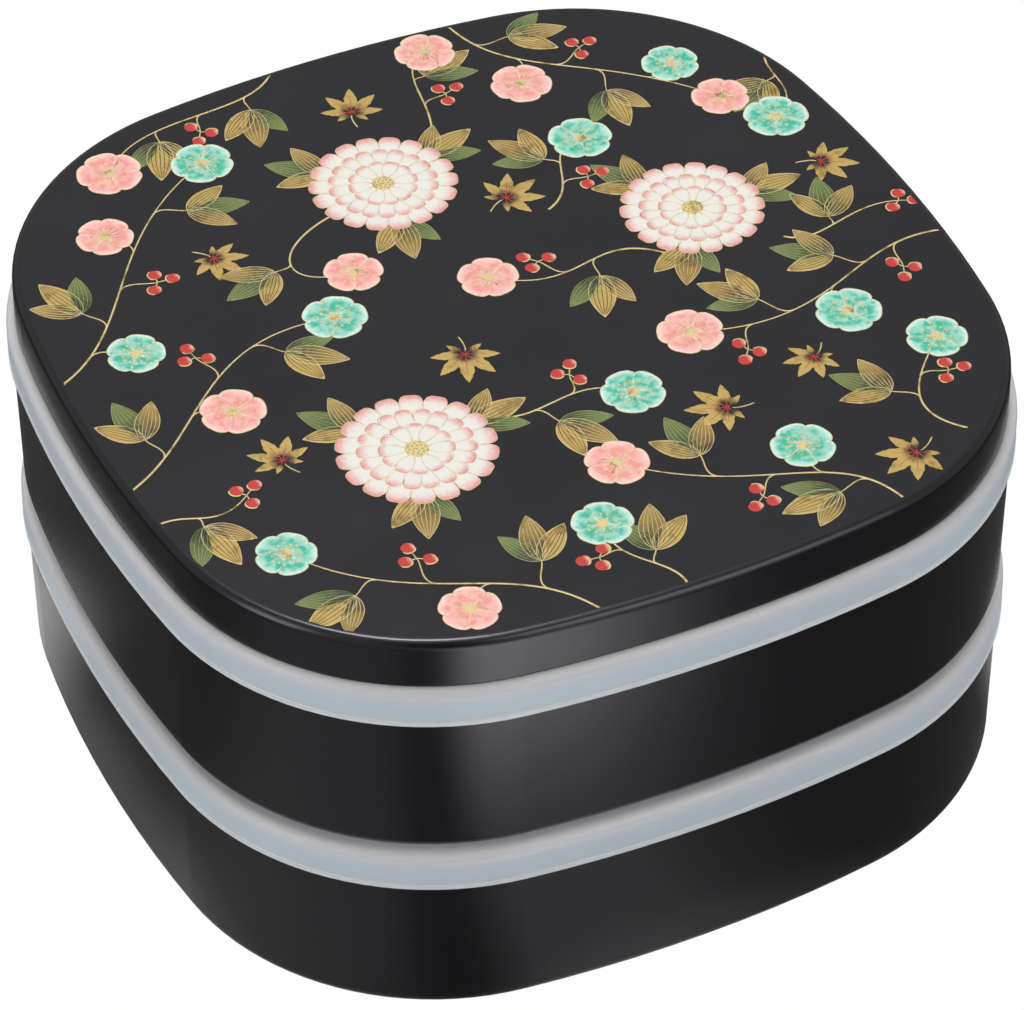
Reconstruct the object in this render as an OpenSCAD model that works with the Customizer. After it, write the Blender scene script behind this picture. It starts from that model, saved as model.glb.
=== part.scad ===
// Two-tier stacking food box with bulged sides: an outer lid, two tiers, and a soft seal lid over each tier.
// Millimetres. +Z is up, and the origin is the middle of the base, on the surface that the box stands on.

/* [Plan] */
// Width of a tier from the middle of one bulged side to the middle of the opposite one
box_w = 180; // [168:1:200]
// Radius of the four upright corners
corner_r = 57.2; // [50:0.2:62]

/* [Tier] */
// Height of one tier from its foot to the top of its rim
tier_h = 41.8; // [34:0.1:60]
// Thickness of the side wall at the rim
tier_wall = 2.9; // [2.7:0.1:3.2]
// How far the outside of the wall leans in from the ledge to the base
tier_draft = 0.2; // [0.1:0.1:1]
// How far the inside of the wall leans in from the rim to the floor
inner_draft = 0.4; // [0.1:0.1:1]
// Radius of the rounded lower edge
base_r = 2.6; // [1:0.2:4]
// Radius where the inside wall runs into the floor
floor_r = 6; // [3:0.5:9]
// Thickness of the floor
floor_t = 2.5; // [1.8:0.1:4]
// Height of the foot ring below the rounded lower edge
foot_h = 1.6; // [1.2:0.1:2]
// Width of the foot ring
foot_w = 3; // [2:0.5:5]
// How far the floor is raised above the surface that the foot stands on
floor_rise = 0.9; // [0.6:0.1:1.2]
// Depth of the neck below the rim's lip, where the seal lid's skirt hangs
neck_in = 1.1; // [0.9:0.1:1.3]
// How far the rim's lip lies inside the wall
lip_in = 0.7; // [0.6:0.1:0.8]
// Height of the rim's lip
lip_h = 1.8; // [1.2:0.1:2.4]

/* [Seal lid] */
// Thickness of the seal lid's panel and shoulder
seal_t = 1.2; // [0.8:0.1:1.6]
// Thickness of its skirt
skirt_t = 1; // [0.9:0.1:1.3]
// How far the skirt reaches down below the tier's rim
skirt_h = 7.1; // [6:0.1:9]
// How far the skirt stands out from the tier's wall
skirt_out = 0.9; // [0.8:0.1:1.1]
// Radius of the shoulder between the skirt and the top
shoulder_r = 2.2; // [1.4:0.1:2.4]
// Height of the hem along the skirt's lower edge
hem_h = 1.1; // [0.6:0.1:1.6]
// How far the hem stands out from the skirt
hem_out = 0.12; // [0.04:0.04:0.2]
// Height of the ridge that locates the piece above
ridge_h = 1.4; // [1:0.1:2]
// Width of the ridge
ridge_w = 1.3; // [1:0.1:1.6]
// Depth of the sealing rib that hangs inside the tier
rib_h = 4; // [2:0.5:6]
// Thickness of the sealing rib
rib_t = 1.2; // [0.9:0.1:1.4]
// How far the snap bead stands in from the skirt
bead_out = 0.3; // [0.1:0.1:0.3]
// Distance of the stiffening band on the panel from the ridge
band_gap = 9; // [5:1:9]
// Width of the stiffening band
band_w = 3; // [2:0.5:4]
// Height of the stiffening band
band_h = 0.5; // [0.2:0.1:0.6]

/* [Outer lid] */
// Height of the outer lid
lid_h = 10.5; // [9:0.1:16]
// Thickness of the lid's top
lid_t = 2.2; // [1.6:0.1:3]
// Thickness of the lid's rim
lid_wall = 2.1; // [1.8:0.1:2.1]
// How far the lid's rim lies inside the tier's wall
lid_in = 1; // [0.9:0.1:1.2]
// How far the lid's side leans in towards the top
lid_draft = 0.1; // [0:0.1:0.6]
// Radius of the lid's rounded top edge
lid_r = 1.8; // [1.2:0.2:2.6]
// Radius where the lid's inside wall runs into its underside
lid_hollow_r = 1.4; // [0.8:0.2:2]

/* [Fits] */
// Clearance between upright faces that slide past each other
slip = 0.3; // [0.3:0.05:0.4]
// Gap under the seal lid's skirt and under a foot, so that the rims carry the load
rest_gap = 0.3; // [0.3:0.05:0.5]
// Small rounding on the edges that a hand touches
edge_r = 0.4; // [0.2:0.1:0.4]

/* [Hidden] */

lacquer = [0.07, 0.07, 0.08];
frosted = [0.80, 0.83, 0.87];

// The plan has eight arcs: four flat side arcs that run smoothly into four corner arcs. A side arc's centre, a
// corner's centre and the point where the arcs meet lie on one line, whose slope is 15 in 112 (15, 112, 113 is a
// right triangle), so every centre and radius comes out as a round number.
half_w = box_w / 2;
plan_unit = (half_w - corner_r) / 32;
corner_x = 30 * plan_unit;
side_r = corner_r + 226 * plan_unit;
side_x = half_w - side_r;
far = [2 * corner_x - side_x, 2 * corner_x];
corner_reach = corner_x * sqrt(2) + corner_r;

// Each swept section carries its floor, panel or top inwards by lap. A round plate closes the middle, reaches
// past the swept part by plate_lap in the corners and stays that far inside the curve at the foot of the wall.
plate_lap = 1.5;
plate_r = half_w - tier_wall - inner_draft - floor_r - plate_lap;
lap = corner_reach - plate_r + plate_lap;

// Heights of the stack, from the base up
floor_z = floor_rise + floor_t;
ledge_z = tier_h - skirt_h - rest_gap;
ridge_z = seal_t + ridge_h;
panel_z = ridge_z - foot_h - rest_gap;
pitch = tier_h + ridge_z - foot_h;
lower_rim_z = tier_h;
upper_rim_z = pitch + tier_h;
lid_z = upper_rim_z + seal_t;
total_h = lid_z + lid_h;

// Distances inside the plan line
lid_inner = lid_in + lid_wall;
ridge_in = lid_inner + lid_draft * ridge_h / lid_h + slip;
foot_in = ridge_in + ridge_w + slip;
rib_in = tier_wall + inner_draft * rib_h / (tier_h - floor_z - floor_r) + slip;
band_in = ridge_in + ridge_w + band_gap;

// Points on a round stretch of a section: centre, radius, first and last angle, number of steps
function arc(x, y, r, from, to, steps) =
    [for (i = [0 : steps]) let (a = from + (to - from) * i / steps) [x + r * cos(a), y + r * sin(a)]];

// Carries a section round the plan. In the section, x is the distance outside the plan line and y is the height.
module swept() {
    reach = 2 * total_h;
    for (k = [0 : 3]) rotate(90 * k) {
        intersection() {
            translate([side_x, 0, 0]) rotate_extrude(angle = 40, start = -20, $fn = 720)
                translate([side_r, 0]) children();
            translate([0, 0, -reach / 2]) linear_extrude(reach)
                polygon([[side_x, 0], [far.x, -far.y], far]);
        }
        intersection() {
            translate([corner_x, corner_x, 0]) rotate_extrude(angle = 90, start = 0, $fn = 240)
                translate([corner_r, 0]) children();
            translate([0, 0, -reach / 2]) linear_extrude(reach)
                polygon([[corner_x, corner_x], far, [far.x, far.x], [far.y, far.x]]);
        }
    }
}

// Closes the middle of a swept floor between two heights
module plate(low, high) translate([0, 0, low]) cylinder(r = plate_r, h = high - low, $fn = 240);

// Section of a tier, foot at 0
module tier_section() polygon(concat(
    [[-lap, floor_rise], [-foot_in - foot_w, floor_rise], [-foot_in - foot_w, 0], [-foot_in, 0],
     [-foot_in, foot_h]],
    arc(-tier_draft - base_r, foot_h + base_r, base_r, -90, 0, 8),
    arc(-edge_r, ledge_z - edge_r, edge_r, 0, 90, 4),
    [[-neck_in, ledge_z], [-neck_in, tier_h - lip_h - neck_in + lip_in], [-lip_in, tier_h - lip_h]],
    arc(-lip_in - edge_r, tier_h - edge_r, edge_r, 0, 90, 4),
    arc(-tier_wall + edge_r, tier_h - edge_r, edge_r, 90, 180, 4),
    arc(-tier_wall - inner_draft - floor_r, floor_z + floor_r, floor_r, 0, -90, 10),
    [[-lap, floor_z]]
));

// One tier: swept wall, foot ring and floor
module tier() {
    swept() tier_section();
    plate(floor_rise, floor_z);
}

// Section of a seal lid, its height counted from the top of the tier's rim
module seal_section() polygon(concat(
    [[-lap, panel_z - seal_t], [-rib_in - rib_t, panel_z - seal_t], [-rib_in - rib_t, edge_r - rib_h]],
    arc(-rib_in - rib_t + edge_r, edge_r - rib_h, edge_r, 180, 270, 3),
    arc(-rib_in - edge_r, edge_r - rib_h, edge_r, 270, 360, 3),
    [[-rib_in, 0]],
    arc(skirt_out - skirt_t - edge_r, -edge_r, edge_r, 90, 0, 4),
    arc(skirt_out - skirt_t, -lip_h - bead_out - slip - edge_r, bead_out, 90, 270, 8),
    [[skirt_out - skirt_t, -skirt_h], [skirt_out - hem_out, -skirt_h], [skirt_out, hem_out - skirt_h],
     [skirt_out, hem_h - skirt_h], [skirt_out - hem_out, hem_h + hem_out - skirt_h]],
    arc(skirt_out - hem_out - shoulder_r, seal_t - shoulder_r, shoulder_r, 0, 90, 8),
    [[-ridge_in, seal_t]],
    arc(-ridge_in - edge_r, ridge_z - edge_r, edge_r, 0, 90, 4),
    arc(-ridge_in - ridge_w + edge_r, ridge_z - edge_r, edge_r, 90, 180, 4),
    [[-ridge_in - ridge_w, panel_z], [-band_in, panel_z], [-band_in - band_h, panel_z + band_h],
     [-band_in - band_w + band_h, panel_z + band_h], [-band_in - band_w, panel_z], [-lap, panel_z]]
));

// One seal lid: skirt with hem and snap bead, shoulder, locating ridge, sealing rib and panel
module seal_lid() {
    swept() seal_section();
    plate(panel_z - seal_t, panel_z);
}

// Section of the outer lid, its rim at 0
module lid_section() polygon(concat(
    [[-lap, lid_h - lid_t]],
    arc(-lid_inner - lid_draft - lid_hollow_r, lid_h - lid_t - lid_hollow_r, lid_hollow_r, 90, 0, 6),
    arc(-lid_inner + edge_r, edge_r, edge_r, 180, 270, 4),
    arc(-lid_in - edge_r, edge_r, edge_r, 270, 360, 4),
    arc(-lid_in - lid_draft - lid_r, lid_h - lid_r, lid_r, 0, 90, 10),
    [[-lap, lid_h]]
));

// The outer lid: a shallow shell that stands on the upper seal lid's shoulder, outside its ridge
module outer_lid() {
    swept() lid_section();
    plate(lid_h - lid_t, lid_h);
}

color(lacquer) tier();  // lower_tier
color(frosted) translate([0, 0, lower_rim_z]) seal_lid();  // lower_seal_lid
color(lacquer) translate([0, 0, pitch]) tier();  // upper_tier
color(frosted) translate([0, 0, upper_rim_z]) seal_lid();  // upper_seal_lid
color(lacquer) translate([0, 0, lid_z]) outer_lid();
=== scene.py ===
from math import atan2, pi, radians

import bpy
import numpy as np
from bpy.props import FloatProperty, FloatVectorProperty, PointerProperty
from mathutils import Matrix, Vector


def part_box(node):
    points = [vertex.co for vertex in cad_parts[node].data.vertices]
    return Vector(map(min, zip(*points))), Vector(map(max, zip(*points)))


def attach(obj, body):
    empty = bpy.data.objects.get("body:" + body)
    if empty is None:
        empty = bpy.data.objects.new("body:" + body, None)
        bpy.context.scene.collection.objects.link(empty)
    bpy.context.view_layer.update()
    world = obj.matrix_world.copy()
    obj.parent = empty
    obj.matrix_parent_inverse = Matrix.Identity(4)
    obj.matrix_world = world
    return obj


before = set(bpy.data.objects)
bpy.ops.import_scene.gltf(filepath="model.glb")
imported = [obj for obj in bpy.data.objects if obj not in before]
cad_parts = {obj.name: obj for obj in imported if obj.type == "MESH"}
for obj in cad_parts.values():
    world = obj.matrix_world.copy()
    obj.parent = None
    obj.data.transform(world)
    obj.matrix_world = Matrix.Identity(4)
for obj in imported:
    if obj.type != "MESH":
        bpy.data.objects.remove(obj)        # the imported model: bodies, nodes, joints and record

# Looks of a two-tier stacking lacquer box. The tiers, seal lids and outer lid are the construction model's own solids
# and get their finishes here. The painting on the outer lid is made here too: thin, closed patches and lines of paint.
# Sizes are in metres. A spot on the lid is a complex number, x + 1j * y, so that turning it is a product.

bl_info = {
    "name": "Lacquer box looks",
    "version": (1, 0, 0),
    "blender": (4, 5, 0),
    "location": "View3D > Sidebar > Lacquer box",
    "description": "Lacquer, frosted seal lids and a painted lid for a two-tier stacking box",
    "category": "Object",
}

MM = 0.001
TIERS = ("lower_tier", "upper_tier")
SEAL_LIDS = ("lower_seal_lid", "upper_seal_lid")
LID = "outer_lid"


def length(label, millimetres, description):
    """A size that can be set, given in millimetres and kept in metres."""
    return FloatProperty(name=label, default=millimetres * MM, min=0, unit="LENGTH", precision=5, description=description)


def angle(label, degrees, description):
    """An angle that can be set, given in degrees and kept in radians."""
    return FloatProperty(name=label, default=radians(degrees), subtype="ANGLE", description=description)


def linear(code):
    """A colour code such as "b39a58" as linear red, green and blue."""
    parts = [int(code[i:i + 2], 16) / 255 for i in (0, 2, 4)]
    return [c / 12.92 if c <= 0.04045 else ((c + 0.055) / 1.055) ** 2.4 for c in parts]


def colour(label, code, description):
    """A colour that can be set."""
    return FloatVectorProperty(
        name=label, default=linear(code), size=3, subtype="COLOR", min=0, max=1, description=description)


class BoxLooksLid(bpy.types.PropertyGroup):
    """Sizes of the outer lid's painted field and of the paint on it."""
    corner_radius: length("Corner radius", 57.2, "Radius of the tier's upright corners, which the field follows")
    field_inset: length("Field inset", 3.0, "From the tier's outline in to the edge of the painted field")
    sink: length("Sink", 0.03, "How far the paint's hidden underside reaches into the lid")
    crown: length("Crown", 0.012, "How far a patch of paint rises from its edge to its middle")
    stem_width: length("Stem width", 0.50, "Width of a stem where it starts")
    twig_width: length("Twig width", 0.36, "Width of a twig where it starts")
    vein_width: length("Vein width", 0.17, "Width of a vein or of a fine outline")
    blossom_size: length("Blossom size", 6.2, "From the middle of a plum blossom to the tip of a petal")
    bud_size: length("Bud size", 1.35, "Radius of a bud")
    leaf_length: length("Leaf length", 12.5, "Length of the longest leaf of a spray")
    leaf_width: length("Leaf width", 5.4, "Width of that leaf")


class BoxLooksPaint(bpy.types.PropertyGroup):
    """Colours of the lacquer, the seal lids and the painting."""
    lacquer: colour("Lacquer", "111013", "Black lacquer of the tiers and the outer lid")
    frost: colour("Frost", "dbe1f9", "Shoulder of a seal lid")
    frost_low: colour("Frost, low", "cfe0fa", "Skirt of a seal lid, where the dark tier shows through")
    # Painted light: the top of a seal lid is coloured near-white to stand in for light coming through the plastic and
    # to lift the shade under the tier above
    frost_top_painted_light: colour("Frost, top", "f2f2fe", "Top of a seal lid, which light comes through from within")
    frost_hem: colour("Frost, hem", "eff7ff", "Hem of a seal lid")
    gold: colour("Gold", "c0a45e", "Gold of stems, leaves and outlines")
    gold_pale: colour("Pale gold", "dcc88e", "Fine gold lines")
    gold_deep: colour("Deep gold", "9a7f42", "Gold where it thins out")
    ink: colour("Ink", "1b171a", "Dark ground of leaves and dark veins")
    olive: colour("Olive", "66733f", "Green leaves")
    olive_pale: colour("Pale olive", "98a26a", "Veins of green leaves")
    ivory: colour("Ivory", "e9e6dd", "Chrysanthemum petals")
    blush: colour("Blush", "e58f8e", "Tips of the chrysanthemum petals")
    pink: colour("Pink", "ef9a94", "Pink blossoms")
    pink_pale: colour("Pale pink", "fad6cb", "Edges of the pink blossoms")
    turquoise: colour("Turquoise", "38b89b", "Turquoise blossoms")
    turquoise_pale: colour("Pale turquoise", "d5f0e4", "Edges of the turquoise blossoms")
    red: colour("Red", "c23a34", "Buds and the red of the maple leaves")
    # Painted highlight: the pale side of a bud stands in for light falling on it
    red_painted_highlight: colour("Pale red", "f3b9a2", "Lit side of a bud")


class BoxLooksView(bpy.types.PropertyGroup):
    """Where the camera stands, worked out by fitting the box's edges."""
    azimuth: angle("Azimuth", -25.678, "Direction of the camera round the box, 0 looking along +Y")
    elevation: angle("Elevation", 41.894, "Height of the camera above the horizon")
    roll: angle("Roll", -0.213, "Turn of the camera about its own axis")
    distance: length("Distance", 983.093, "From the aim to the camera")
    aim_height: length("Aim height", 56.6, "Height of the aim above the floor")
    slide: length("Slide", 1.082, "How far the camera is moved to its right")
    drop: length("Drop", 10.152, "How far the camera is moved down")
    focal: length("Focal length", 172.90, "Focal length on a 36 mm wide picture")


class Shade:
    """A socket of a material. The operators add Math nodes and give the result's socket."""

    def __init__(self, finish, socket):
        self.finish, self.socket = finish, socket

    def maths(self, operation, first, second):
        return self.finish.node("ShaderNodeMath", {"operation": operation}, {0: first, 1: second})

    def __add__(self, other):
        return self.maths("ADD", self, other)

    def __sub__(self, other):
        return self.maths("SUBTRACT", self, other)

    def __rsub__(self, other):
        return self.maths("SUBTRACT", other, self)

    def __mul__(self, other):
        return self.maths("MULTIPLY", self, other)

    def __truediv__(self, other):
        return self.maths("DIVIDE", self, other)

    def __pow__(self, other):
        return self.maths("POWER", self, other)

    __radd__, __rmul__ = __add__, __mul__


class Finish:
    """A material of one Principled shader, whose sockets take numbers, colours or shades."""

    def __init__(self, name, **constants):
        self.material = bpy.data.materials.new(name)
        self.material.use_nodes = True
        self.tree = self.material.node_tree
        self.shader = self.tree.nodes["Principled BSDF"]
        for label, value in constants.items():
            self.feed(self.shader, label.replace("_", " ").title().replace("Ior", "IOR"), value)

    def feed(self, node, key, value):
        """Sets a socket to a value, or links a shade to it."""
        socket = node.inputs[key]
        if isinstance(value, Shade):
            self.tree.links.new(value.socket, socket)
        elif socket.type == "RGBA":
            socket.default_value = (*value, 1)
        else:
            socket.default_value = value

    def node(self, kind, settings=None, sockets=None, output=0):
        """Adds a node: its settings first, then the values or links of its sockets. Gives one output."""
        node = self.tree.nodes.new(kind)
        for key, value in (settings or {}).items():
            if key == "stops":
                ramp = node.color_ramp.elements
                while len(ramp) < len(value):
                    ramp.new(0.5)
                for stop, (place, level) in zip(ramp, value):
                    stop.position, stop.color = place, (level, level, level, 1)
            else:
                setattr(node, key, value)
        for key, value in (sockets or {}).items():
            self.feed(node, key, value)
        return Shade(self, node.outputs[output])

    def place(self, scale=(1, 1, 1)):
        """Object coordinates, stretched by scale."""
        where = self.node("ShaderNodeTexCoord", output="Object")
        return self.node("ShaderNodeMapping", None, {"Vector": where, "Scale": scale})

    def height(self):
        """The height above the floor at rest, in metres."""
        where = self.node("ShaderNodeTexCoord", output="Object")
        return self.node("ShaderNodeSeparateXYZ", None, {0: where}, "Z")

    def facing_up(self):
        """1 on level faces that look up and 0 on upright ones, in the object's own directions."""
        way = self.node("ShaderNodeTexCoord", output="Normal")
        return self.node("ShaderNodeSeparateXYZ", None, {0: way}, "Z")

    def noise(self, scale, detail=3, stretch=(1, 1, 1), roughness=0.5):
        """Cloudy noise from 0 to 1, with scale blots to the metre."""
        return self.node("ShaderNodeTexNoise", None, {
            "Vector": self.place(stretch), "Scale": scale, "Detail": detail, "Roughness": roughness}, 0)

    def mark(self, name):
        """A number that the mesh carries at each point."""
        return self.node("ShaderNodeAttribute", {"attribute_name": name}, output="Fac")

    def between(self, value, low, high):
        """0 below low, 1 above high, and a smooth step between them."""
        return self.node("ShaderNodeMapRange", {"interpolation_type": "SMOOTHSTEP"}, {
            "Value": value, "From Min": low, "From Max": high})

    def mix(self, first, second, share):
        """The first colour turning into the second as share goes from 0 to 1."""
        return self.node("ShaderNodeMix", {"data_type": "RGBA"}, {0: share, 6: first, 7: second}, 2)

    def bump(self, relief, depth):
        """Surface relief from a shade, with its depth in metres."""
        self.feed(self.shader, "Normal", self.node("ShaderNodeBump", None, {
            "Strength": 1, "Distance": depth, "Height": relief}))

    def wear(self, *objects):
        """Makes this the only material of the objects."""
        for piece in objects:
            piece.data.materials.clear()
            piece.data.materials.append(self.material)


class Plan:
    """The box's outline from above: four flat side arcs that run smoothly into four corner arcs.

    A side arc's centre, a corner's centre and the point where the arcs meet lie on one line, of slope 15 in 112."""

    def __init__(self, width, corner_radius, inset):
        unit = (width / 2 - corner_radius) / 32
        self.corner_x = 30 * unit
        self.side_radius = corner_radius + 226 * unit
        self.side_x = width / 2 - self.side_radius
        self.corner_radius, self.inset = corner_radius, inset

    def kept(self, spots):
        """The spots, with those outside the painted field moved to its edge along the outline's own direction.

        A spot is folded into one eighth of the plan, its arm from its arc's centre is cut to the field's radius
        there, and it is folded back."""
        x, y = np.abs(spots.real), np.abs(spots.imag)
        steep = y > x
        folded = np.where(steep, y, x) + 1j * np.where(steep, x, y)
        on_side = np.angle(folded - self.side_x) < atan2(15, 112)
        centre = np.where(on_side, self.side_x, self.corner_x * (1 + 1j))
        reach = np.where(on_side, self.side_radius, self.corner_radius) - self.inset
        arm = folded - centre
        folded = centre + arm * np.minimum(1, reach / np.maximum(np.abs(arm), MM))
        x, y = np.where(steep, folded.imag, folded.real), np.where(steep, folded.real, folded.imag)
        return np.copysign(x, spots.real) + 1j * np.copysign(y, spots.imag)


def leaf_shape(base, tip, steps=32):
    """The outline of a petal or leaf of length 1 and width 1, from its base at 0 to its tip at 1.

    With u along it, the half width is u^base * (1 - u)^tip, scaled to a half at its widest. A power under 0.5 is
    blunt, 0.5 is round and 1 is pointed. u = (1 - cos t) / 2 sets the points close together at both ends."""
    turn = np.linspace(0, 2 * pi, steps, endpoint=False)
    along = (1 - np.cos(turn)) / 2
    return along - 1j * np.sign(np.sin(turn)) * half_width(along, base, tip)


def half_width(along, base, tip):
    """Half the width of a leaf shape of width 1, at the shares of its length given by along."""
    widest = base / (base + tip)
    return 0.5 * along**base * (1 - along)**tip / (widest**base * (1 - widest)**tip)


def ring(steps):
    """The outline of a disc of radius 1."""
    return np.exp(1j * np.linspace(0, 2 * pi, steps, endpoint=False))


def swept(points, steps=24, first=0, last=1):
    """Points on curves of four control points each: the sum of the points, each times its Bernstein share."""
    t = np.linspace(first, last, steps)
    shares = np.array([(1 - t)**3, 3 * t * (1 - t)**2, 3 * t**2 * (1 - t), t**3])
    return np.asarray(points) @ shares


class Painting:
    """Closed patches and lines of one paint on the lid, gathered as arrays and made into one mesh.

    share is 0 in the middle of a patch and 1 at its edge, along is 0 at its base and 1 at its tip, and lot is a
    number from 0 to 1 that differs from patch to patch."""

    SHARES = np.array([0.5, 0.8, 0.94, 1.0, 1.0])

    def __init__(self, lid, plan, top):
        self.lid, self.plan, self.top = lid, plan, top
        self.points, self.corners, self.sizes, self.marks, self.count = [], [], [], [], 0

    def add(self, spots, heights, faces, marks):
        """Takes in arrays of spots and heights of shape (pieces, points), faces of one piece, and its marks."""
        pieces, each = spots.shape
        spots = self.plan.kept(spots)
        heights = np.broadcast_to(heights, spots.shape)
        self.points.append(np.stack([spots.real, spots.imag, self.top + heights], -1).reshape(-1, 3))
        starts = self.count + each * np.arange(pieces)[:, None, None]
        for group in faces:
            self.corners.append((group[None] + starts).ravel())
            self.sizes.append(np.full(pieces * len(group), group.shape[1]))
        self.marks.append(np.stack([np.broadcast_to(m, spots.shape).ravel() for m in marks]))
        self.count += pieces * each

    def patches(self, outlines, middles, level, along=None):
        """Adds domed patches of paint from outlines of shape (pieces, steps).

        A point lies at middle + s * (outline - middle), at the height level + crown * (1 - s^4), for each share s.
        The last ring goes down into the lid, and a point in the middle closes the top and the underside."""
        pieces, steps = outlines.shape
        along = np.zeros(steps) if along is None else along
        area = np.sum((outlines.conj() * np.roll(outlines, -1, 1)).imag, 1)[:, None]
        backward = area < 0
        outlines = np.where(backward, outlines[:, ::-1], outlines)
        along = np.where(backward, along[::-1], along)
        s = self.SHARES[None, :, None]
        rings = middles[:, None, None] + s * (outlines - middles[:, None])[:, None, :]
        heights = level + self.lid.crown * (1 - self.SHARES**4)
        heights[-1] = -self.lid.sink
        spots = np.concatenate([middles[:, None], rings.reshape(pieces, -1), middles[:, None]], 1)
        heights = np.concatenate([[level + self.lid.crown], np.repeat(heights, steps), [-self.lid.sink]])
        share = np.concatenate([[0], np.repeat(self.SHARES, steps), [0]])
        centre_along = along.mean(1, keepdims=True)
        flow = centre_along[:, None] + s * (along - centre_along)[:, None, :]
        flow = np.concatenate([centre_along, flow.reshape(pieces, -1), centre_along], 1)
        lot = (np.arange(pieces) * 0.618034 % 1)[:, None]
        here = 1 + np.arange(steps)
        after = 1 + (np.arange(steps) + 1) % steps
        last = steps * (len(self.SHARES) - 1)
        fans = [np.stack([0 * here, here, after], 1),
                np.stack([0 * here + last + steps + 1, last + after, last + here], 1)]
        bands = [np.stack([here + k, here + k + steps, after + k + steps, after + k], 1)
                 for k in range(0, last, steps)]
        self.add(spots, heights, [np.concatenate(fans), np.concatenate(bands)], (share, flow, lot))

    def lines(self, paths, width, level, closed=False):
        """Adds lines of paint along paths of shape (pieces, steps).

        Each point of a path carries five points: to its right and left, down in the lid and at the line's height,
        and one over the middle, higher by the crown. Open lines end in flat caps."""
        pieces, steps = paths.shape
        if closed:
            ahead = np.roll(paths, -1, 1) - np.roll(paths, 1, 1)
        else:
            ahead = np.gradient(paths, axis=1)
        aside = 1j * ahead / np.maximum(np.abs(ahead), 1e-12)
        half = np.broadcast_to(width, paths.shape)[:, :, None] / 2
        spots = paths[:, :, None] + aside[:, :, None] * half * np.array([-1, -1, 0, 1, 1])
        high = self.lid.crown * 0.5
        heights = np.array([-self.lid.sink, level, level + high, level, -self.lid.sink])
        index = np.arange(steps * 5).reshape(steps, 5)
        index = np.concatenate([index, index[:1]]) if closed else index
        here, beside = index, np.roll(index, -1, 1)
        sides = np.stack([here[:-1], here[1:], beside[1:], beside[:-1]], -1).reshape(-1, 4)
        faces = [sides] if closed else [sides, np.stack([index[0], index[-1][::-1]])]
        along = np.repeat(np.linspace(0, 1, steps), 5)
        lot = (np.arange(pieces) * 0.618034 % 1)[:, None]
        self.add(spots.reshape(pieces, -1), np.tile(heights, steps), faces, (0, along, lot))

    def make(self, name, finish):
        """Makes the mesh, sets its marks and its material, and lets it ride on the lid."""
        mesh = bpy.data.meshes.new(name)
        points, corners = np.concatenate(self.points), np.concatenate(self.corners)
        sizes = np.concatenate(self.sizes)
        mesh.vertices.add(len(points))
        mesh.vertices.foreach_set("co", points.ravel())
        mesh.loops.add(len(corners))
        mesh.loops.foreach_set("vertex_index", corners)
        mesh.polygons.add(len(sizes))
        mesh.polygons.foreach_set("loop_start", np.cumsum(sizes) - sizes)
        mesh.polygons.foreach_set("use_smooth", np.ones(len(sizes), bool))
        for label, values in zip(("share", "along", "lot"), np.concatenate(self.marks, 1)):
            mesh.attributes.new(label, "FLOAT", "POINT").data.foreach_set("value", values)
        mesh.update(calc_edges=True)
        mesh.validate()
        piece = bpy.data.objects.new(name, mesh)
        bpy.context.scene.collection.objects.link(piece)
        finish.wear(piece)
        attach(piece, LID)
        return piece


# Heights of the layers of paint above the lid, in metres
LEVEL = {"stem": 0.008 * MM, "leaf": 0.018 * MM, "vein": 0.031 * MM, "petal": 0.034 * MM, "edge": 0.046 * MM,
         "second": 0.044 * MM, "third": 0.054 * MM, "heart": 0.066 * MM, "seed": 0.076 * MM}

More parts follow.
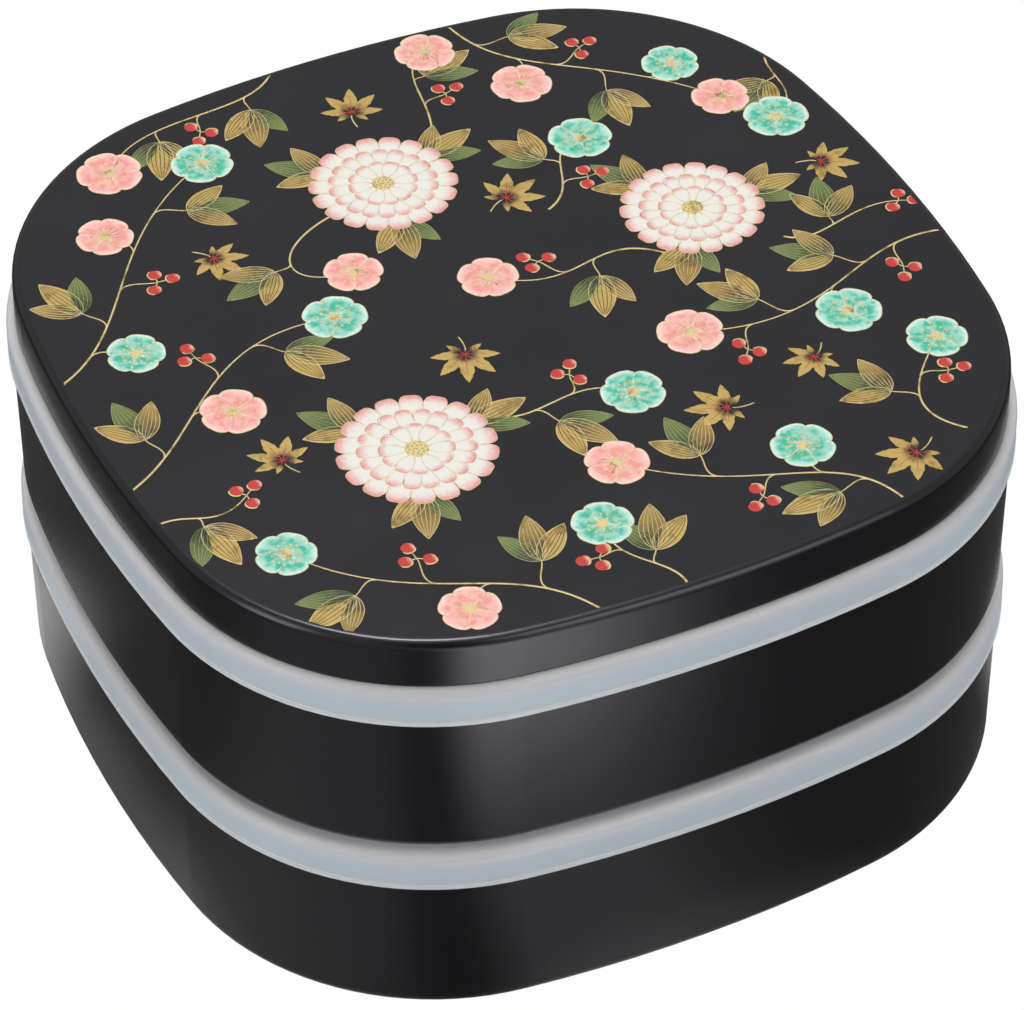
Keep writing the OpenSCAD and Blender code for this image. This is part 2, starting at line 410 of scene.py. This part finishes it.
# Branches, in millimetres on the lid: the four control points of the stem, and what grows from it, as the share of
# the stem's length, the side (1 left, -1 right, 0 the stem's own end), the twig's length and the kind.
BRANCHES = (
    ((-88 + 14j, -68 + 22j, -64 + 52j, -36 + 66j),
     ((0.16, -1, 9, "turquoise"), (0.30, 1, 7, "leaves"), (0.46, -1, 8, "buds"), (0.62, 1, 8, "pink"),
      (0.78, -1, 7, "leaves"), (1, 0, 0, "turquoise"))),
    ((28 + 88j, 30 + 64j, 50 + 66j, 68 + 40j),
     ((0.15, 1, 8, "leaves"), (0.34, -1, 9, "pink"), (0.50, 1, 8, "buds"), (0.64, -1, 8, "leaves"),
      (0.80, 1, 7, "turquoise"), (1, 0, 0, "pink"))),
    ((88 - 18j, 68 - 12j, 56 - 36j, 28 - 24j),
     ((0.18, 1, 8, "buds"), (0.34, -1, 7, "leaves"), (0.52, 1, 8, "turquoise"), (0.70, -1, 8, "leaves"),
      (0.84, 1, 8, "buds"), (1, 0, 0, "pink"))),
    ((42 - 88j, 40 - 64j, 18 - 74j, -2 - 52j),
     ((0.20, 1, 7, "leaves"), (0.38, -1, 9, "turquoise"), (0.56, 1, 7, "buds"), (0.74, -1, 7, "leaves"),
      (1, 0, 0, "pink"))),
    ((-22 - 88j, -30 - 66j, -52 - 74j, -68 - 48j),
     ((0.20, -1, 8, "leaves"), (0.40, 1, 8, "pink"), (0.58, -1, 8, "buds"), (0.76, 1, 6, "leaves"),
      (1, 0, 0, "turquoise"))),
    ((-88 - 20j, -68 - 12j, -60 + 16j, -32 + 10j),
     ((0.18, 1, 7, "leaves"), (0.38, -1, 8, "pink"), (0.56, 1, 8, "buds"), (0.74, -1, 7, "leaves"),
      (1, 0, 0, "turquoise"))),
    ((36 - 2j, 24 + 14j, 16 - 6j, 0 + 8j),
     ((0.42, 1, 6, "leaves"), (0.62, -1, 7, "buds"), (1, 0, 0, "pink"))),
    ((62 - 72j, 52 - 62j, 62 - 54j, 70 - 46j),
     ((0.40, 1, 6, "leaves"), (0.62, -1, 6, "buds"), (1, 0, 0, "turquoise"))),
    ((-10 + 90j, -18 + 74j, -42 + 88j, -54 + 71j),
     ((0.26, 1, 5, "leaves"), (0.48, 1, 6, "buds"), (0.68, 1, 4, "leaves"), (1, 0, 0, "pink"))),
    ((90 + 54j, 74 + 48j, 88 + 36j, 75 + 29j),
     ((0.50, -1, 3, "leaves"), (1, 0, 0, "turquoise"))),
    ((-20 - 28j, -10 - 38j, 0 - 24j, 10 - 35j),
     ((0.34, -1, 6, "leaves"), (0.62, 1, 6, "buds"), (1, 0, 0, "turquoise"))),
    ((7 + 50j, 16 + 62j, 10 + 76j, 20 + 80j),
     ((0.36, -1, 6, "buds"), (0.62, -1, 3, "leaves"), (1, 0, 0, "pink"))),
    ((-20 + 39j, -36 + 34j, -38 + 22j, -23 + 21j),
     ((0.48, -1, 4, "leaves"), (1, 0, 0, "pink"))),
    ((-6 - 90j, -2 - 80j, -16 - 78j, -12 - 66j),
     ((0.42, -1, 4, "leaves"), (0.70, 1, 5, "buds"), (1, 0, 0, "turquoise"))),
    ((-90 - 32j, -80 - 26j, -78 - 38j, -68 - 30j),
     ((0.50, -1, 3, "leaves"), (1, 0, 0, "buds"))),
    ((58 - 6j, 64 - 12j, 74 - 2j, 84 - 6j),
     ((0.45, 1, 3, "leaves"), (1, 0, 0, "buds"))),
    ((20 + 22j, 30 + 26j, 26 + 40j, 36 + 40j),
     ((0.30, -1, 6, "buds"), (0.56, 1, 4, "leaves"), (1, 0, 0, "turquoise"))),
)

# Chrysanthemums and maple leaves: the spot on the lid and the size in millimetres, and the turn in degrees
CHRYSANTHEMUMS = ((-34 - 32j, 15.5, 10), (46 + 10j, 14.5, 0), (-6 + 44j, 15, 20))
MAPLE_LEAVES = ((14 + 29j, 8.5, 20), (-14 - 11j, 8.5, 250), (-2 + 68j, 8, 70), (76 + 12j, 8, -30),
                (46 - 41j, 7, 215), (24 - 47j, 8.5, 160), (-46 + 37j, 7.5, 300), (50 - 74j, 8.5, 200),
                (-58 - 24j, 7.5, 100))


def grown(branches):
    """Works out where every twig and what it carries lies. Gives the stems' and twigs' control points and, for each
    kind, the spots in metres and the directions that they face."""
    stems, twigs, carried = [], [], {"pink": [], "turquoise": [], "buds": [], "leaves": []}
    for stem, growth in branches:
        stem = np.array(stem) * MM
        stems.append(stem)
        for share, side, reach, kind in growth:
            before, start, after = swept(stem, 3, share - 0.01, share + 0.01)
            ahead = (after - before) / abs(after - before)
            way = ahead * np.exp(1j * side * radians(58))
            end = start + way * reach * MM
            if side:
                twigs.append([start, start + ahead * 0.45 * reach * MM, end - way * 0.3 * reach * MM, end])
            carried[kind].append((end, way))
    return np.array(stems), np.array(twigs), {kind: np.array(found) for kind, found in carried.items()}


def painting(context):
    """An empty painting on the lid, and the lid's sizes and colours."""
    lid, paint = context.scene.box_looks_lid, context.scene.box_looks_paint
    low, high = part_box("upper_tier")
    plan = Plan(high.x - low.x, lid.corner_radius, lid.field_inset)
    return Painting(lid, plan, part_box(LID)[1].z), lid, paint


def gold_finish(name, paint, pale=False):
    """Powdered gold: half metal and half ochre, cloudy where the powder is thinner."""
    finish = Finish(name, metallic=0.3, specular_ior_level=0.4)
    cloud = finish.noise(420, 4)
    light = paint.gold_pale if pale else paint.gold
    finish.feed(finish.shader, "Base Color", finish.mix(paint.gold_deep, light, finish.between(cloud, 0.28, 0.5)))
    finish.feed(finish.shader, "Roughness", 0.36 + 0.2 * finish.noise(5200, 2))
    finish.bump(finish.noise(5200, 2), 0.006 * MM)
    return finish


def petal_finish(name, middle, edge, tip, cloudy):
    """Opaque paint that is laid on thicker towards the edge of a petal, with brush strokes and a mottled ground."""
    finish = Finish(name, roughness=0.42, specular_ior_level=0.35)
    strokes = finish.noise(1500, 3)
    share = finish.mark("share") + (strokes - 0.5) * 0.5
    ground = finish.mix(middle, edge, finish.between(finish.noise(620, 3), 0.5 - cloudy, 0.5 + cloudy) * 0.45)
    rimmed = finish.mix(ground, edge, finish.between(share, 0.70, 1.05))
    tipped = finish.mix(rimmed, tip, finish.between(finish.mark("along") + (strokes - 0.5) * 0.3, 0.62, 1.05))
    finish.feed(finish.shader, "Base Color", tipped)
    finish.bump(strokes, 0.012 * MM)
    return finish


def leaf_finish(name, base, tip):
    """A leaf's ground, deeper at its base."""
    finish = Finish(name, roughness=0.45, specular_ior_level=0.35)
    share = finish.between(finish.mark("along") + (finish.noise(900, 3) - 0.5) * 0.6, 0.0, 0.75)
    finish.feed(finish.shader, "Base Color", finish.mix(base, tip, share))
    finish.bump(finish.noise(3000, 2), 0.005 * MM)
    return finish


class BOX_OT_lacquer(bpy.types.Operator):
    """Black lacquer on the tiers and the outer lid: satin on level faces, glossier on upright ones"""
    bl_idname = "box_looks.lacquer"
    bl_label = "Lacquer"

    def execute(self, context):
        paint = context.scene.box_looks_paint
        for name in (*TIERS, LID):
            finish = Finish(name + "_lacquer", specular_ior_level=0.52,
                            specular_tint=(0.95, 0.92, 1.0))
            up = finish.between(finish.facing_up(), 0.985, 1.0)
            cloud = finish.noise(60, 4)
            deep = [0.7 * c for c in paint.lacquer]
            finish.feed(finish.shader, "Base Color", finish.mix(deep, paint.lacquer, cloud))
            streak = finish.noise(1, 5, (25, 25, 1900), 0.6)
            grain = finish.noise(2600, 2)
            finish.feed(finish.shader, "Roughness", 0.16 + 0.02 * up + 0.12 * streak + 0.03 * cloud)
            finish.bump(grain * (0.4 + up) + streak * 1.6, 0.0012 * MM)
            finish.wear(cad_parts[name])
        return {"FINISHED"}


class BOX_OT_seal_lids(bpy.types.Operator):
    """Frosted, milky plastic on the seal lids: greyer on the shoulder, bluer down the skirt, light at the hem, and
    near-white at the top of the shoulder as painted light that lifts the shade under the tier above
    """
    bl_idname = "box_looks.seal_lids"
    bl_label = "Seal lids"

    def execute(self, context):
        paint = context.scene.box_looks_paint
        for name in SEAL_LIDS:
            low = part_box(name)[0].z
            finish = Finish(name + "_frost", roughness=0.34, specular_ior_level=0.4, subsurface_weight=0.9,
                            subsurface_radius=(1, 1, 1), subsurface_scale=5 * MM)
            height = finish.height() - low + (finish.noise(90, 3) - 0.5) * 0.6 * MM
            hem = finish.between(height, 1.5 * MM, 0.5 * MM)
            shoulder = finish.between(height, 4.2 * MM, 7.2 * MM)
            skirt = finish.mix(paint.frost_low, paint.frost, shoulder)
            # Painted light: near-white at the top of the shoulder, lifting the shade under the tier above
            skirt = finish.mix(skirt, paint.frost_top_painted_light, finish.between(height, 7.0 * MM, 7.5 * MM))
            finish.feed(finish.shader, "Base Color", finish.mix(skirt, paint.frost_hem, hem))
            finish.bump(finish.noise(1800, 3), 0.004 * MM)
            finish.wear(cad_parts[name])
        return {"FINISHED"}


class BOX_OT_branches(bpy.types.Operator):
    """Gold stems that sweep in from the edge of the lid, and their twigs"""
    bl_idname = "box_looks.branches"
    bl_label = "Branches"

    def execute(self, context):
        work, lid, paint = painting(context)
        stems, twigs, _ = grown(BRANCHES)
        work.lines(swept(stems, 72), lid.stem_width * np.linspace(1, 0.55, 72), LEVEL["stem"])
        work.lines(swept(twigs, 20), lid.twig_width * np.linspace(1, 0.7, 20), LEVEL["stem"])
        work.make("gold_branches", gold_finish("gold_branches", paint, pale=True))
        return {"FINISHED"}


class BOX_OT_leaves(bpy.types.Operator):
    """Sprays of slender leaves, in gold, green and dark, with fine veins along them"""
    bl_idname = "box_looks.leaves"
    bl_label = "Leaves"

    # Turn in degrees and length as a share of the longest, for the leaves of a spray
    SPRAY = ((0, 1.0), (38, 0.82), (-36, 0.88))
    BASE, TIP = 0.7, 0.95

    def execute(self, context):
        _, lid, paint = painting(context)
        spots, ways = grown(BRANCHES)[2]["leaves"].T
        starts, arms = [spots], [ways]
        for spot, size, turn in CHRYSANTHEMUMS:
            around = np.exp(1j * radians(turn) + 1j * radians(120) * np.arange(3))
            starts.append(spot * MM + around * size * MM * 0.82)
            arms.append(around)
        spots, ways = np.concatenate(starts), np.concatenate(arms)
        turns = np.array([[np.exp(1j * radians(turn)), share] for turn, share in self.SPRAY])
        arms = (ways[:, None] * turns[:, 0] * turns[:, 1].real * lid.leaf_length).ravel()
        spots = np.repeat(spots, len(self.SPRAY))
        style = (np.arange(len(arms)) * 2 + np.arange(len(arms)) // 3) % 3
        kinds = (("gold", gold_finish("gold_leaves", paint), gold_finish("ink", paint)),
                 ("green", leaf_finish("green_leaves", paint.ink, paint.olive), None),
                 ("dark", leaf_finish("dark_leaves", paint.ink, paint.gold_deep), None))
        fine, green, ink = painting(context)[0], painting(context)[0], painting(context)[0]
        ratio = lid.leaf_width / lid.leaf_length
        shape = leaf_shape(self.BASE, self.TIP)
        shape = shape.real + 1j * shape.imag * ratio
        run = np.linspace(0.03, 0.93, 16)
        ribs = np.array([-0.66, -0.33, 0, 0.33, 0.66])[:, None]
        ribs = run + 1j * ribs * half_width(run, self.BASE, self.TIP) * ratio
        for index, (label, finish, _) in enumerate(kinds):
            mine = style == index
            work = painting(context)[0]
            outlines = spots[mine, None] + arms[mine, None] * shape
            work.patches(outlines, spots[mine] + 0.5 * arms[mine], LEVEL["leaf"], shape.real)
            work.make(label + "_leaves", finish)
            veins = (spots[mine, None, None] + arms[mine, None, None] * ribs).reshape(-1, len(run))
            lines = (ink, green, fine)[index]
            lines.lines(veins, lid.vein_width * np.linspace(1, 0.6, len(run)), LEVEL["vein"])
            edge = (fine, green, fine)[index]
            edge.lines(outlines, lid.vein_width, LEVEL["vein"], closed=True)
        fine.make("gold_leaf_veins", gold_finish("gold_leaf_veins", paint, pale=True))
        green.make("green_leaf_veins", leaf_finish("green_leaf_veins", paint.olive, paint.olive_pale))
        ink.make("dark_leaf_veins", leaf_finish("dark_leaf_veins", paint.ink, paint.ink))
        return {"FINISHED"}


class BOX_OT_blossoms(bpy.types.Operator):
    """Plum blossoms in pink and turquoise: five round petals, gold edges, and a gold heart with stamens"""
    bl_idname = "box_looks.blossoms"
    bl_label = "Plum blossoms"

    PETALS, STAMENS = 5, 15

    def execute(self, context):
        gold, lid, paint = painting(context)
        carried = grown(BRANCHES)[2]
        shape = leaf_shape(0.62, 0.40)
        shape = 0.12 + 0.88 * (shape.real + 1j * shape.imag * 1.18)
        petals = np.exp(2j * pi * np.arange(self.PETALS) / self.PETALS)
        rays = np.exp(2j * pi * np.arange(self.STAMENS) / self.STAMENS)
        for kind, pale in (("pink", paint.pink_pale), ("turquoise", paint.turquoise_pale)):
            work = painting(context)[0]
            spots, ways = carried[kind].T
            ways = ways * lid.blossom_size * (0.92 + 0.16 * (np.arange(len(ways)) * 0.618 % 1))
            arms = ways[:, None] * petals
            for parity in (0, 1):
                some = arms[:, parity::2]
                outlines = (spots[:, None, None] + some[:, :, None] * shape).reshape(-1, len(shape))
                middles = (spots[:, None] + some * 0.6).ravel()
                level = LEVEL["petal"] + parity * 0.004 * MM
                work.patches(outlines, middles, level, shape.real)
                gold.lines(outlines, lid.vein_width * 0.8, level + 0.006 * MM, closed=True)
            tint = getattr(paint, kind)
            work.make(kind + "_blossoms", petal_finish(kind + "_blossoms", tint, pale, pale, 0.12))
            stems = ways[:, None] * rays
            lines = spots[:, None, None] + stems[:, :, None] * np.linspace(0.10, 0.46, 4)
            gold.lines(lines.reshape(-1, 4), lid.vein_width * 0.7, LEVEL["heart"])
            ends = (spots[:, None] + stems * (0.46 + 0.06 * (np.arange(self.STAMENS) % 2))).ravel()
            disc = ring(10) * 0.045 * lid.blossom_size
            gold.patches(ends[:, None] + disc, ends, LEVEL["heart"])
            gold.patches(spots[:, None] + ring(20) * 0.17 * lid.blossom_size, spots, LEVEL["heart"])
        gold.make("gold_stamens", gold_finish("gold_stamens", paint, pale=True))
        return {"FINISHED"}


class BOX_OT_chrysanthemums(bpy.types.Operator):
    """White chrysanthemums: three rings of blunt petals with blushing tips, gold edges and a seeded gold heart"""
    bl_idname = "box_looks.chrysanthemums"
    bl_label = "Chrysanthemums"

    # Petals, inner and outer end as shares of the flower, half step of turn, and layer of each ring
    RINGS = ((18, 0.40, 1.00, 0, "petal"), (18, 0.26, 0.74, 1, "second"), (12, 0.12, 0.47, 0, "third"))
    SEEDS = 19

    def execute(self, context):
        work, lid, paint = painting(context)
        gold = painting(context)[0]
        spots = np.array([spot for spot, _, _ in CHRYSANTHEMUMS]) * MM
        sizes = np.array([size * np.exp(1j * radians(turn)) for _, size, turn in CHRYSANTHEMUMS]) * MM
        for count, inner, outer, half, layer in self.RINGS:
            turns = np.exp(2j * pi * (np.arange(count) + half / 2) / count)
            shape = leaf_shape(0.62, 0.26, 36)
            width = 2 * pi * outer * 0.86 / count / (outer - inner)
            shape = inner + (outer - inner) * (shape.real + 1j * shape.imag * width)
            for parity in (0, 1):
                arms = sizes[:, None] * turns[parity::2]
                outlines = (spots[:, None, None] + arms[:, :, None] * shape).reshape(-1, len(shape))
                middles = (spots[:, None] + arms * (inner + 0.6 * (outer - inner))).ravel()
                level = LEVEL[layer] + parity * 0.003 * MM
                work.patches(outlines, middles, level, (shape.real - inner) / (outer - inner))
                gold.lines(outlines, lid.vein_width * 0.75, level + 0.006 * MM, closed=True)
        gold.patches(spots[:, None] + sizes[:, None] * 0.15 * ring(32), spots, LEVEL["heart"])
        step = np.arange(self.SEEDS)
        seeds = 0.135 * np.sqrt(step / self.SEEDS) * np.exp(1j * radians(137.5) * step)
        seeds = (spots[:, None] + sizes[:, None] * seeds).ravel()
        dots = painting(context)[0]
        dots.patches(seeds[:, None] + ring(8) * 0.20 * MM, seeds, LEVEL["seed"])
        dots.make("chrysanthemum_seeds", leaf_finish("chrysanthemum_seeds", paint.gold_deep, paint.ink))
        work.make("white_chrysanthemums", petal_finish("white_chrysanthemums", paint.ivory, paint.ivory, paint.blush, 0.1))
        gold.make("gold_chrysanthemum_lines", gold_finish("gold_chrysanthemum_lines", paint, pale=True))
        return {"FINISHED"}


class BOX_OT_maple_leaves(bpy.types.Operator):
    """Gold maple leaves adrift between the branches, dark at the heart with red veins"""
    bl_idname = "box_looks.maple_leaves"
    bl_label = "Maple leaves"

    # Turn in degrees and length as a share of the longest, for the lobes of a leaf
    LOBES = ((0, 1.0), (42, 0.94), (-42, 0.94), (86, 0.80), (-86, 0.80), (130, 0.52), (-130, 0.52))

    def execute(self, context):
        work, lid, paint = painting(context)
        red, fine = painting(context)[0], painting(context)[0]
        spots = np.array([spot for spot, _, _ in MAPLE_LEAVES]) * MM
        sizes = np.array([size * np.exp(1j * radians(turn)) for _, size, turn in MAPLE_LEAVES]) * MM
        shape = leaf_shape(0.62, 0.92, 40)
        teeth = 1 + 0.10 * np.cos(shape.real * 9 * 2 * pi) * np.sin(pi * shape.real)
        shape = shape.real + 1j * shape.imag * 0.36 * teeth
        for index, (turn, share) in enumerate(self.LOBES):
            arms = sizes * np.exp(1j * radians(turn)) * share
            outlines = spots[:, None] + arms[:, None] * shape
            work.patches(outlines, spots + 0.45 * arms, LEVEL["leaf"] + index * 0.001 * MM, shape.real * share)
            red.lines(spots[:, None] + arms[:, None] * np.linspace(0, 0.62, 5),
                      lid.vein_width * np.linspace(1.5, 0.6, 5), LEVEL["vein"])
        bend = np.array([0, -0.18 + 0.05j, -0.36 + 0.02j, -0.62 - 0.10j])
        fine.lines(swept(spots[:, None] + sizes[:, None] * bend, 12), lid.twig_width * 0.8, LEVEL["stem"])
        finish = gold_finish("maple_leaves", paint)
        dark = finish.between(finish.mark("along") + (finish.noise(900, 3) - 0.5) * 0.25, 0.42, 0.14)
        cloud = finish.mix(paint.gold_deep, paint.gold, finish.between(finish.noise(420, 4), 0.28, 0.5))
        finish.feed(finish.shader, "Base Color", finish.mix(cloud, paint.ink, dark))
        work.make("maple_leaves", finish)
        red.make("maple_veins", leaf_finish("maple_veins", paint.red, paint.red))
        fine.make("maple_stalks", gold_finish("maple_stalks", paint, pale=True))
        return {"FINISHED"}


class BOX_OT_buds(bpy.types.Operator):
    """Red plum buds in threes at the ends of twigs, each in a small gold cup, with a painted highlight on one side"""
    bl_idname = "box_looks.buds"
    bl_label = "Buds"

    # Where the buds of a twig stand, in bud radii from its end, with the twig pointing along the real axis
    CLUSTER = np.array([2.4, 0.2 + 1.7j, -1.0 - 1.5j])

    def execute(self, context):
        work, lid, paint = painting(context)
        gold = painting(context)[0]
        spots, ways = grown(BRANCHES)[2]["buds"].T
        size = lid.bud_size
        ends = spots[:, None] + ways[:, None] * self.CLUSTER * size
        stalks = np.stack([spots[:, None] + 0 * ends, spots[:, None] + (ends - spots[:, None]) * 0.5,
                           ends - ways[:, None] * 0.5 * size, ends], -1).reshape(-1, 4)
        gold.lines(swept(stalks, 8), lid.twig_width * 0.7, LEVEL["stem"])
        ends, away = ends.ravel(), np.repeat(ways, len(self.CLUSTER)) * size
        cup = leaf_shape(0.5, 0.5, 20)
        cup = (cup.real - 0.5) * 1.5 + 1j * cup.imag * 2.0
        gold.patches(ends[:, None] - 0.45 * away[:, None] + away[:, None] * cup, ends - 0.45 * away, LEVEL["leaf"])
        # Painted highlight: each bud turns pale towards +x on the lid, as if lit from that side
        work.patches(ends[:, None] + size * ring(24), ends, LEVEL["petal"], np.broadcast_to(ring(24).real * 0.5 + 0.5, 24))
        work.make("red_buds", petal_finish("red_buds", paint.red, paint.red, paint.red_painted_highlight, 0.1))
        gold.make("gold_bud_cups", gold_finish("gold_bud_cups", paint, pale=True))
        return {"FINISHED"}


class BOX_OT_stage(bpy.types.Operator):
    """Camera, white floor and surroundings, and soft studio light"""
    bl_idname = "box_looks.stage"
    bl_label = "Stage"

    # Soft boxes: name, place in metres, width and depth in metres, and power in watts
    LAMPS = (("key", (1.05, -2.58, 2.25), 1.80, 2.60, 30.0),
             ("over", (0.21, 0.00, 3.00), 1.20, 1.20, 5.4),
             ("edge", (0.24, 0.93, 2.84), 0.78, 0.96, 36.0),
             ("left", (-3.00, -0.42, 1.50), 1.20, 2.10, 25.0))
    # Light from all round and as it is mirrored, and how bright the mirrored floor is: everywhere, left, before the
    # box, far before it, at the back of its foot, and close round the foot
    WORLD, SKY = 0.40, 0.46
    # Dark gap above the camera, which the lid's near edge mirrors: middle, turn and half sizes, as directions
    GAP = ((-0.27, -0.70, 0.60), radians(159), (0.26, 0.62, 0.60))
    DIM, LEFT, BEFORE, FAR, FOOT, STRIP = 0.095, 0.24, 0.36, 2.3, 0.75, 0.16

    def execute(self, context):
        scene = context.scene
        scene.view_settings.view_transform = "Standard"
        self.set_camera(scene, scene.box_looks_view)
        self.set_surroundings(scene)
        for name, place, width, depth, power in self.LAMPS:
            light = bpy.data.lights.new(name, "AREA")
            light.shape, light.size, light.size_y, light.energy = "RECTANGLE", width, depth, power
            lamp = bpy.data.objects.new(name, light)
            lamp.location = place
            lamp.rotation_euler = Vector(place).to_track_quat("Z", "Y").to_euler()
            scene.collection.objects.link(lamp)
        return {"FINISHED"}

    def set_camera(self, scene, view):
        """Stands the camera at its azimuth and elevation about the aim, then rolls and shifts it."""
        level = Matrix.Rotation(view.azimuth, 3, "Z") @ Matrix.Rotation(pi / 2 - view.elevation, 3, "X")
        turn = level @ Matrix.Rotation(view.roll, 3, "Z")
        right, up, back = turn.col
        data = bpy.data.cameras.new("camera")
        data.sensor_width, data.lens = 36, view.focal * 1000
        camera = bpy.data.objects.new("camera", data)
        place = Vector((0, 0, view.aim_height)) + back * view.distance + right * view.slide - up * view.drop
        camera.matrix_world = Matrix.LocRotScale(place, turn.to_quaternion(), None)
        scene.collection.objects.link(camera)
        scene.camera = camera

    def set_surroundings(self, scene):
        """A pale floor and surroundings, white to the camera and through the frosted plastic."""
        bpy.ops.mesh.primitive_plane_add(size=6)
        floor = bpy.context.object
        floor.name = "floor"
        finish = Finish("floor", base_color=(0.8, 0.8, 0.81), roughness=0.9, specular_ior_level=0.0)
        seen, through, glossy = (finish.node("ShaderNodeLightPath", output=ray) for ray in (
            "Is Camera Ray", "Is Transmission Ray", "Is Glossy Ray"))
        level = (seen + through) + glossy * self.mirrored(finish)
        white = finish.node("ShaderNodeEmission", None, {"Color": (1, 1, 1), "Strength": level})
        shaded = Shade(finish, finish.shader.outputs[0])
        share = (seen + through) * 0.985 + glossy
        both = finish.node("ShaderNodeMixShader", None, {0: share, 1: shaded, 2: white})
        finish.tree.links.new(both.socket, finish.tree.nodes["Material Output"].inputs[0])
        finish.wear(floor)
        world = bpy.data.worlds.new("studio")
        world.use_nodes = True
        scene.world = world
        tree = world.node_tree
        background = tree.nodes["Background"]
        background.inputs["Color"].default_value = (1, 1, 1, 1)
        path = tree.nodes.new("ShaderNodeLightPath")
        toward, gap, off, sky = (tree.nodes.new("ShaderNode" + kind) for kind in (
            "TexCoord", "Mapping", "VectorMath", "MapRange"))
        gap.vector_type, off.operation, sky.interpolation_type = "TEXTURE", "LENGTH", "SMOOTHSTEP"
        for socket, value in (("Location", self.GAP[0]), ("Rotation", (0, 0, self.GAP[1])), ("Scale", self.GAP[2])):
            gap.inputs[socket].default_value = value
        for socket, value in (("From Min", 0.8), ("From Max", 1.15), ("To Min", 0.03), ("To Max", self.SKY)):
            sky.inputs[socket].default_value = value
        tree.links.new(toward.outputs["Generated"], gap.inputs["Vector"])
        tree.links.new(gap.outputs["Vector"], off.inputs[0])
        tree.links.new(off.outputs["Value"], sky.inputs["Value"])
        level = self.WORLD
        for ray, strength in (("Is Glossy Ray", self.SKY), ("Is Transmission Ray", 1.0), ("Is Camera Ray", 1.0)):
            choice = tree.nodes.new("ShaderNodeMix")
            choice.inputs[2].default_value, choice.inputs[3].default_value = self.WORLD, strength
            tree.links.new(path.outputs[ray], choice.inputs[0])
            if level != self.WORLD:
                tree.links.new(level, choice.inputs[2])
            if ray == "Is Glossy Ray":
                tree.links.new(sky.outputs[0], choice.inputs[3])
            level = choice.outputs[0]
        tree.links.new(level, background.inputs["Strength"])

    def mirrored(self, finish):
        """How bright the floor is where the lacquer mirrors it: dim, with a wide glow to the box's left and a narrow
        one before it that gets brighter away from the box, a dark gap between the two, and light at the foot's back."""
        where = finish.node("ShaderNodeTexCoord", output="Object")
        x = finish.node("ShaderNodeSeparateXYZ", None, {0: where}, "X")
        y = finish.node("ShaderNodeSeparateXYZ", None, {0: where}, "Y")
        away = finish.node("ShaderNodeVectorMath", {"operation": "LENGTH"}, {0: where}, "Value")
        turn = finish.node("ShaderNodeMath", {"operation": "ARCTAN2"}, {0: y, 1: x})
        edge = [radians(degrees) for degrees in (-119, -106, -60, -98, -121, -134, -180, -150)]
        before = finish.between(turn, edge[0], edge[1]) * finish.between(turn, edge[2], edge[3]) ** 2.2
        left = finish.between(turn, edge[4], edge[5]) * finish.between(turn, edge[6], edge[7])
        behind = 0.433 * x + 0.901 * y
        foot = self.FOOT * finish.between(away, 0.126, 0.110) * finish.between(behind, -0.02, 0.02)
        strip = self.STRIP * finish.between(away, 0.105, 0.094)
        return self.DIM + self.LEFT * left + foot + strip + before * (
            self.BEFORE + self.FAR * finish.between(away, 0.125, 0.195) ** 1.5)


class BOX_PT_looks(bpy.types.Panel):
    """Sizes, colours and steps of the lacquer box's looks"""
    bl_idname = "BOX_PT_looks"
    bl_label = "Lacquer box"
    bl_space_type = "VIEW_3D"
    bl_region_type = "UI"
    bl_category = "Lacquer box"

    def draw(self, context):
        for step in STEPS:
            self.layout.operator(step.bl_idname)
        for group in (context.scene.box_looks_lid, context.scene.box_looks_paint, context.scene.box_looks_view):
            column = self.layout.box().column()
            for name in group.__annotations__:
                column.prop(group, name)


STEPS = (BOX_OT_lacquer, BOX_OT_seal_lids, BOX_OT_branches, BOX_OT_leaves, BOX_OT_blossoms, BOX_OT_chrysanthemums,
         BOX_OT_maple_leaves, BOX_OT_buds, BOX_OT_stage)
GROUPS = {"box_looks_lid": BoxLooksLid, "box_looks_paint": BoxLooksPaint, "box_looks_view": BoxLooksView}


def register():
    """Registers the classes and hangs the settings on the scene."""
    for kind in (*GROUPS.values(), *STEPS, BOX_PT_looks):
        bpy.utils.register_class(kind)
    for name, kind in GROUPS.items():
        setattr(bpy.types.Scene, name, PointerProperty(type=kind))


def unregister():
    """Takes the settings and the classes away again."""
    for name in GROUPS:
        delattr(bpy.types.Scene, name)
    for kind in reversed((*GROUPS.values(), *STEPS, BOX_PT_looks)):
        bpy.utils.unregister_class(kind)


def main():
    """Runs every step in order."""
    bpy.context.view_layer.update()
    register()
    for step in STEPS:
        group, name = step.bl_idname.split(".")
        getattr(getattr(bpy.ops, group), name)()


if __name__ == "__main__":
    main()
